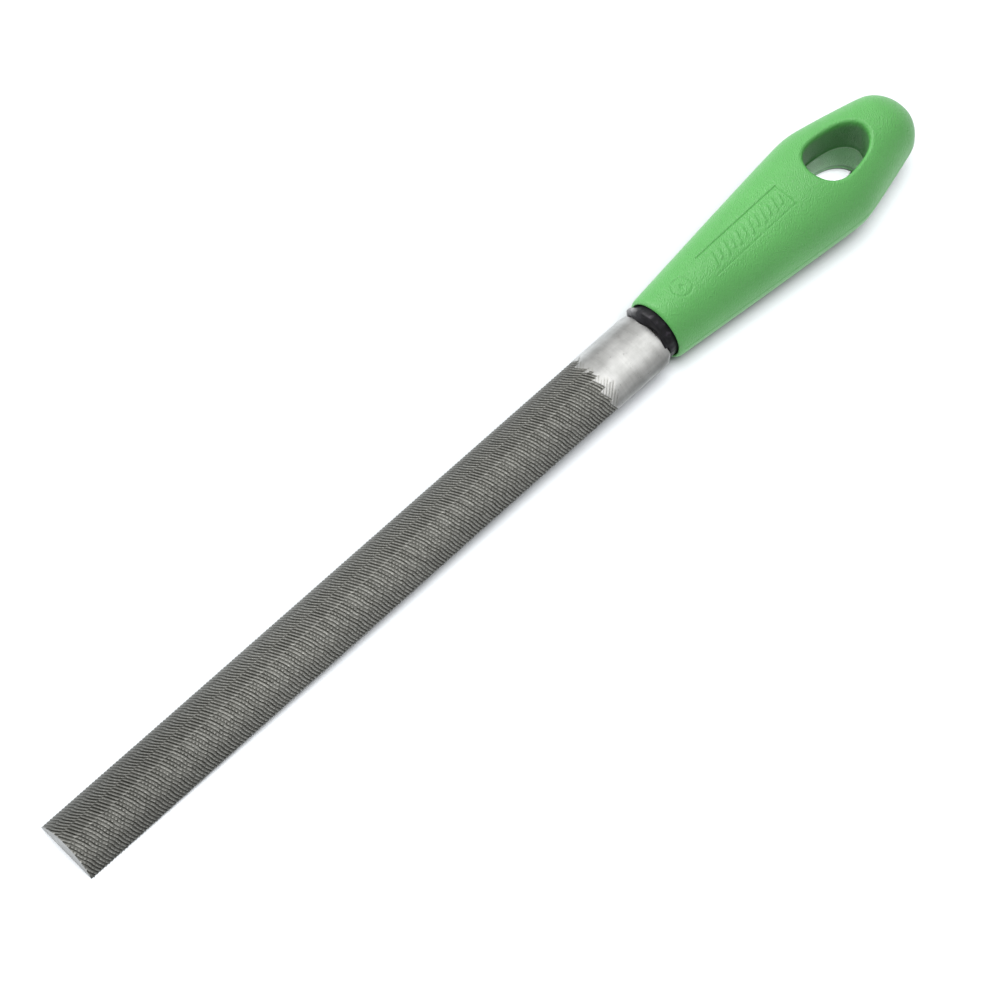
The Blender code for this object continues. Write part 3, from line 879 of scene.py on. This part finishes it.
def handle_mesh():
    """The moulded handle, with its bore, lip, marks and hanging hole."""
    lines = cross_lines()
    xs, patch_first, patch_last = stations()
    skin = Skin()
    mouth = mouth_rings(skin, lines)
    skin.faces.append(tuple(mouth[0][::-1]))
    skin.chain(mouth)
    body = [skin.ring(body_ring(x, lines)) for x in xs]
    around = len(body[0])
    skin.bridge(mouth[-1], body[0])

    # The body's faces, leaving out a patch round the hole on top and its mirror image below.
    edges = [i for i, line in enumerate(lines) if line[:2] == ("outer", 1.0)]
    j0, j1 = min(edges), max(edges)
    for i in range(len(xs) - 1):
        for j in range(around):
            k = (j + 1) % around
            in_patch = j0 <= j < j1 or around - j1 <= j < around - j0
            if not (in_patch and patch_first <= i < patch_last):
                skin.faces.append((body[i][j], body[i + 1][j], body[i + 1][k], body[i][k]))
    end = skin.add((HANDLE_END, 0.0, AXIS_Z))
    for j in range(around):
        skin.faces.append((body[-1][j], end, body[-1][(j + 1) % around]))

    # The patches' boundary, in order, and the rings that lead from it to the middle of the hole.
    boundary = [(i, j0) for i in range(patch_first, patch_last)]
    boundary += [(patch_last, j) for j in range(j0, j1)]
    boundary += [(i, j1) for i in range(patch_last, patch_first, -1)]
    boundary += [(patch_first, j) for j in range(j1, j0, -1)]
    upper = [[body[i][j] for i, j in boundary]]
    lower = [[body[i][(around - j) % around] for i, j in boundary]]
    plan = [skin.points[number][:2] for number in upper[0]]
    walls, normals = hole_ring(plan)
    upper += [skin.ring(ring) for ring in patch_rings(plan, walls, normals, 1.0)]
    lower += [skin.ring(ring) for ring in patch_rings(plan, walls, normals, -1.0)]
    seam = []
    for (wx, wy), normal in zip(walls, normals):
        point = (wx - normal[0] * SEAM_INSET, wy - normal[1] * SEAM_INSET, AXIS_Z)
        seam.append(skin.add(point))
    skin.chain(upper + [seam], turned=True)
    skin.chain(lower + [seam])

    # The hole's walls, marked for painted shade above and painted light below.
    wall_shading_values = np.zeros(len(skin.points))
    for rings, value in ((upper, UPPER_WALL_SHADE), (lower, LOWER_WALL_LIGHT), ([seam], LOWER_WALL_LIGHT)):
        for ring in rings[-len(WALL_SHARES) :]:
            wall_shading_values[ring] = value
    # The seam round the middle of the hole's wall, for a painted highlight along it.
    seam_highlight = np.zeros(len(skin.points))
    seam_highlight[seam] = 1.0
    skin.values = {"wall_shading": wall_shading_values, "seam": seam_highlight}
    return skin.build("grained_handle")


# -------- sleeve


def shoulder_reach(angle):
    """Distance from the sleeve's axis to the outline of the blade's shoulder in a direction."""
    dy, dz = math.cos(angle), math.sin(angle)
    rise = AXIS_Z - ARC_CENTRE_Z
    reach = -rise * dz + math.sqrt((rise * dz) ** 2 + ARC_RADIUS**2 - rise**2)
    reach = min(reach, SHOULDER_HALF_WIDTH / max(abs(dy), TINY))
    if dz < 0.0:
        reach = min(reach, AXIS_Z / -dz)
    return reach


def round_point(x, radius, angle):
    return x, radius * math.cos(angle), AXIS_Z + radius * math.sin(angle)


def outside_point(x, radius, wave, flange, angle):
    """Point on the sleeve's outside and how worn it is, with a wavy edge and one torn lobe."""
    turn = (angle - FLANGE_ANGLE + math.pi) % (2.0 * math.pi) - math.pi
    lobe = flange * max(0.0, 1.0 - (turn / FLANGE_HALF_ANGLE) ** 2)
    ripple = sum(share * math.sin(waves * angle + phase) for waves, phase, share in EDGE_WAVES)
    lean = EDGE_LEAN_SHARE * wave * math.sin(EDGE_LEAN_WAVES * angle + EDGE_LEAN_PHASE)
    point = round_point(x + lean, radius + wave * ripple + lobe, angle)
    return point, min(1.0, FLANGE_WEAR * lobe)


def lap_point(out, forward, angle):
    """Point just off the blade's outline, moved forward where plastic laps the shoulders."""
    reach = shoulder_reach(angle)
    lap = LAP_LENGTH * (0.5 + 0.5 * math.cos(LAP_WAVES * (angle - LAP_PEAK)))
    if reach > LAP_LIMIT or math.sin(angle) < 0.0:
        lap = 0.0
    return round_point(SLEEVE_FACE_X - forward * lap, min(LAP_LIMIT, reach + out), angle)


def sleeve_mesh():
    """The black sleeve: rounded outside, worn front edge, and the slot that takes the tang."""
    angles = [2.0 * math.pi * i / SLEEVE_COLUMNS for i in range(SLEEVE_COLUMNS)]
    skin = Skin("worn")
    rings = []
    for place in SLEEVE_OUTSIDE:
        rings.append([skin.add(*outside_point(*place, angle)) for angle in angles])
    for place in SLEEVE_LAP:
        rings.append(skin.ring([lap_point(*place, angle) for angle in angles], 0.0))
    for x, half in SLEEVE_SLOT:
        ring = [(x, *on_rectangle(math.cos(angle), math.sin(angle), half)) for angle in angles]
        rings.append(skin.ring(ring, 0.0))
    skin.faces.append(tuple(rings[0]))
    skin.chain(rings)
    skin.faces.append(tuple(rings[-1][::-1]))
    return skin.build("tang_sleeve_collar")


# -------- materials


class Nodes:
    """Short calls for building the nodes of a material or a world."""

    def __init__(self, owner, shader="Principled BSDF"):
        owner.use_nodes = True
        self.owner = owner
        self.tree = owner.node_tree
        self.shader = self.tree.nodes[shader]

    def add(self, kind, **settings):
        node = self.tree.nodes.new(kind)
        for key, value in settings.items():
            if key in node.inputs:
                self.feed(node.inputs[key], value)
            else:
                setattr(node, key, value)
        return node

    def feed(self, socket, value):
        """Link a socket to a node's output, or set it to a value."""
        if hasattr(value, "node"):
            self.tree.links.new(value, socket)
        elif isinstance(value, tuple) and socket.type == "RGBA":
            socket.default_value = (*value, 1.0)
        else:
            socket.default_value = value

    def surface(self, name, value):
        self.feed(self.shader.inputs[name], value)

    def coordinates(self, scale=(1.0, 1.0, 1.0)):
        where = self.add("ShaderNodeTexCoord").outputs["Object"]
        return self.add("ShaderNodeMapping", Vector=where, Scale=scale).outputs["Vector"]

    def noise(self, vector, scale, detail=4.0, roughness=0.55):
        node = self.add("ShaderNodeTexNoise", Vector=vector, Scale=scale, Detail=detail, Roughness=roughness)
        return node.outputs["Fac"]

    def attribute(self, name):
        return self.add("ShaderNodeAttribute", attribute_name=name).outputs["Fac"]

    def ramp(self, value, *stops):
        """Colours between stops of (position, colour)."""
        node = self.add("ShaderNodeValToRGB", Fac=value)
        elements = node.color_ramp.elements
        while len(elements) < len(stops):
            elements.new(0.5)
        for element, (position, colour) in zip(elements, stops):
            element.position = position
            element.color = (*colour, 1.0)
        return node.outputs["Color"]

    def mix(self, factor, first, second, mode="MIX"):
        node = self.add("ShaderNodeMix", data_type="RGBA", blend_type=mode)
        # A mix node has its inputs once for each type: these are the factor and the two colours.
        for socket, value in ((node.inputs[0], factor), (node.inputs[6], first), (node.inputs[7], second)):
            self.feed(socket, value)
        return node.outputs[2]

    def span(self, value, low, high, first=0.0, last=1.0):
        """A value from first to last, mapped to the span from low to high."""
        node = self.add("ShaderNodeMapRange", Value=value)
        for name, limit in (("From Min", first), ("From Max", last), ("To Min", low), ("To Max", high)):
            node.inputs[name].default_value = limit
        return node.outputs["Result"]

    def bump(self, height, strength, distance, **below):
        node = self.add("ShaderNodeBump", Height=height, Strength=strength, Distance=distance, **below)
        return node.outputs["Normal"]


def steel_material():
    """Ground heel with brushed streaks and specks, and teeth with painted shade that deepens with their
    depth; the "tone" attribute adds painted light and shade.
    """
    n = Nodes(bpy.data.materials.new("cut_steel"))
    plain = n.coordinates()
    fine = n.noise(plain, 2600.0)
    broad = n.noise(plain, 150.0, 5.0)
    specks = n.noise(plain, 1400.0, 2.0, 0.4)
    brushed = n.noise(n.coordinates((60.0, 700.0, 700.0)), 1.0, 3.0)
    ground = n.noise(n.coordinates((1600.0, 90.0, 90.0)), 1.0, 2.0)
    cut = n.attribute("cut")

    # Painted shade in the hollows of the cut: the colour darkens with its depth, in the teeth and in the
    # over-cut strokes beyond them.
    teeth = n.ramp(
        n.attribute("depth"),
        (0.0, (0.62, 0.62, 0.58)),
        (0.25, (0.44, 0.44, 0.41)),
        (0.6, (0.25, 0.25, 0.23)),
        (1.0, (0.09, 0.09, 0.08)),
    )
    grain = n.ramp(fine, (0.35, (0.2, 0.2, 0.19)), (0.6, (0.8, 0.8, 0.8)))
    teeth = n.mix(0.3, teeth, grain, "MULTIPLY")

    heel = n.ramp(
        broad,
        (0.3, (0.48, 0.483, 0.468)),
        (0.5, (0.61, 0.613, 0.598)),
        (0.7, (0.74, 0.742, 0.725)),
    )
    for factor, pattern in ((0.25, brushed), (0.2, ground)):
        streaks = n.ramp(pattern, (0.3, (0.6, 0.6, 0.6)), (0.7, (1.0, 1.0, 1.0)))
        heel = n.mix(factor, heel, streaks, "MULTIPLY")
    pits = n.ramp(specks, (0.24, (0.35, 0.35, 0.34)), (0.33, (1.0, 1.0, 1.0)))
    heel = n.mix(0.4, heel, pits, "MULTIPLY")

    # The "tone" attribute paints light and shade over the steel: highlights and shade along the arc, glints
    # on the teeth, and shade at the heel's -Y edge.
    n.surface("Base Color", n.mix(1.0, n.mix(cut, heel, teeth), n.attribute("tone"), "MULTIPLY"))
    n.surface("Metallic", 1.0)
    n.surface("Specular Tint", n.mix(cut, (1.0, 1.0, 1.0), (0.7, 0.7, 0.7)))
    n.surface("Roughness", n.mix(cut, n.span(broad, 0.32, 0.46), (0.39, 0.39, 0.39)))
    n.surface("Normal", n.bump(n.mix(cut, brushed, (0.5, 0.5, 0.5)), 0.3, 0.00006))
    return n.owner


def sleeve_material():
    """Black plastic, with a grey rub where the flange is worn."""
    n = Nodes(bpy.data.materials.new("worn_black_plastic"))
    spots = n.noise(n.coordinates(), 420.0)
    black = n.ramp(
        spots,
        (0.35, (0.006, 0.006, 0.007)),
        (0.6, (0.012, 0.011, 0.014)),
        (0.75, (0.05, 0.042, 0.055)),
    )
    rubbed = n.ramp(spots, (0.3, (0.12, 0.12, 0.12)), (0.7, (0.35, 0.35, 0.36)))
    n.surface("Base Color", n.mix(n.attribute("worn"), black, rubbed))
    n.surface("Roughness", 0.42)
    n.surface("Specular IOR Level", 0.22)
    n.surface("Normal", n.bump(spots, 0.5, 0.0003))
    return n.owner


def green_material():
    """Green plastic with a wrinkled grain that runs aslant to the handle, over fine pebbles, with painted
    shade and light on the walls of the hole and a painted highlight along its seam.
    """
    n = Nodes(bpy.data.materials.new("grained_green_plastic"))
    plain = n.coordinates()
    turned = n.add("ShaderNodeMapping", Vector=plain, Rotation=(0.0, 0.0, math.radians(-48.0)))
    aslant = turned.outputs["Vector"]
    stretched = n.add("ShaderNodeMapping", Vector=aslant, Scale=(0.8, 1.9, 1.2))
    wrinkles = n.noise(stretched.outputs["Vector"], 1900.0, 1.5, 0.5)
    pebbles = n.noise(plain, 1300.0, 2.0, 0.5)
    broad = n.noise(plain, 60.0, 3.0)
    colour = n.ramp(broad, (0.3, (0.097, 0.385, 0.089)), (0.7, (0.108, 0.415, 0.098)))
    wall_shading = n.attribute("wall_shading")
    # Painted shade on the upper wall of the hole.
    colour = n.mix(n.span(wall_shading, 0.0, 2.0), colour, (0.09, 0.25, 0.09))
    # Painted light on the lower wall, as if from the white floor below.
    colour = n.mix(n.span(wall_shading, -1.0, 1.0), colour, (0.23, 0.52, 0.23))
    # Painted highlight: a pale line along the seam inside the hole.
    n.surface("Base Color", n.mix(n.attribute("seam"), colour, (0.6, 0.75, 0.6)))
    n.surface("Roughness", 0.34)
    grain = n.bump(wrinkles, 1.0, 0.00028)
    n.surface("Normal", n.bump(pebbles, 0.5, 0.00006, Normal=grain))
    return n.owner


def floor_material():
    n = Nodes(bpy.data.materials.new("white_floor"))
    tone = n.noise(n.coordinates(), 6.0, 2.0)
    n.surface("Base Color", n.ramp(tone, (0.0, (0.29, 0.3, 0.31)), (1.0, (0.3, 0.31, 0.32))))
    n.surface("Roughness", 0.9)
    n.surface("Specular IOR Level", 0.1)
    return n.owner


# -------- stage


def floor_object(handle):
    """A plane that the blade's tip edge and the handle's belly both rest on."""
    points = [vertex.co / MM for vertex in handle.data.vertices]
    slope = max(-point.z / (point.x - TIP_X) for point in points)
    half = 0.5 * FLOOR_SIZE
    skin = Skin()
    for x, y in ((-half, -half), (half, -half), (half, half), (-half, half)):
        skin.add((x, y, -slope * (x - TIP_X) - FLOOR_GAP))
    skin.faces.append((0, 1, 2, 3))
    item = skin.build("studio_floor", smooth=False)
    item.data.materials.append(floor_material())
    return item


def camera():
    """The camera at the photo's angle, from its place and two of its directions."""
    data = bpy.data.cameras.new("photo_camera")
    data.sensor_width = SENSOR
    data.lens = LENS
    data.clip_start = 0.01
    data.clip_end = 20.0
    item = bpy.data.objects.new("photo_camera", data)
    bpy.context.scene.collection.objects.link(item)
    forward = unit(CAMERA_FORWARD)
    right = np.array(CAMERA_RIGHT)
    right = unit(right - forward * (right @ forward))
    up = np.cross(right, forward)
    matrix = Matrix.Identity(4)
    for row in range(3):
        matrix[row] = (right[row], up[row], -forward[row], CAMERA_PLACE[row] * MM)
    item.matrix_world = matrix
    bpy.context.scene.camera = item


def lamp(name, kind, power, place, target, receivers):
    """A light at a place in metres that shines at a target, on the given objects only."""
    data = bpy.data.lights.new(name, kind)
    data.energy = power
    item = bpy.data.objects.new(name, data)
    bpy.context.scene.collection.objects.link(item)
    item.location = place
    direction = Vector(target) - Vector(place)
    item.rotation_euler = direction.to_track_quat("-Z", "Y").to_euler()
    lit = bpy.data.collections.new(name + "_receivers")
    for receiver in receivers:
        lit.objects.link(receiver)
    item.light_linking.receiver_collection = lit
    return data


def piece_lamps(pieces):
    """Round lamps that each light only some of the pieces."""
    for name, place, size, power, receivers in LAMPS:
        lit = [piece for piece in pieces if piece.name in receivers]
        data = lamp(name, "AREA", power, place, LAMP_TARGET, lit)
        data.shape = "DISK"
        data.size = size


def floor_lamps(floor):
    """A broad sun, and a narrow beam from the camera's side through the hanging hole."""
    hole = np.array((HOLE_CENTRE_X, 0.0, AXIS_Z)) * MM
    lean = math.radians(FLOOR_SUN_LEAN)
    to_sun = np.array((0.0, -math.sin(lean), math.cos(lean)))
    sun = lamp("floor_sun", "SUN", FLOOR_SUN, hole + to_sun, hole, [floor])
    sun.angle = math.radians(FLOOR_SUN_SPREAD)
    place = hole - unit(CAMERA_FORWARD) * HOLE_BEAM_DISTANCE
    beam = lamp("hole_beam", "SPOT", HOLE_BEAM_POWER, place, hole, [floor])
    beam.spot_size = math.radians(HOLE_BEAM_SPREAD)
    beam.spot_blend = HOLE_BEAM_BLEND
    beam.shadow_soft_size = HOLE_BEAM_RADIUS


def studio_world():
    """White to the camera; as light, stronger from overhead and from the +Y side."""
    world = bpy.data.worlds.new("studio")
    bpy.context.scene.world = world
    n = Nodes(world, "Background")
    where = n.add("ShaderNodeTexCoord")
    split = n.add("ShaderNodeSeparateXYZ", Vector=where.outputs["Generated"])
    level = n.span(split.outputs["Z"], 0.3, 1.15, -0.1, 0.9)
    side = n.span(split.outputs["Y"], 0.6, 1.15, -1.0, 1.0)
    product = n.add("ShaderNodeMath", operation="MULTIPLY")
    n.feed(product.inputs[0], level)
    n.feed(product.inputs[1], side)
    seen = n.add("ShaderNodeLightPath").outputs["Is Camera Ray"]
    strength = n.add("ShaderNodeMix", Factor=seen, A=product.outputs["Value"], B=1.0)
    n.surface("Color", (1.0, 1.0, 1.0))
    n.surface("Strength", strength.outputs["Result"])


def main():
    blade = blade_mesh()
    handle = handle_mesh()
    sleeve = sleeve_mesh()
    for item, material, node, slot in (
        (blade, steel_material(), "file_blade", "steel"),
        (handle, green_material(), "moulded_handle", "handle_plastic"),
        (sleeve, sleeve_material(), "tang_sleeve", "sleeve_plastic"),
    ):
        item.data.materials.append(material)
        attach(item, "root")
        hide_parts(node)
    floor_lamps(floor_object(handle))
    piece_lamps((blade, handle, sleeve))
    camera()
    studio_world()
    bpy.context.scene.view_settings.view_transform = "Standard"


main()
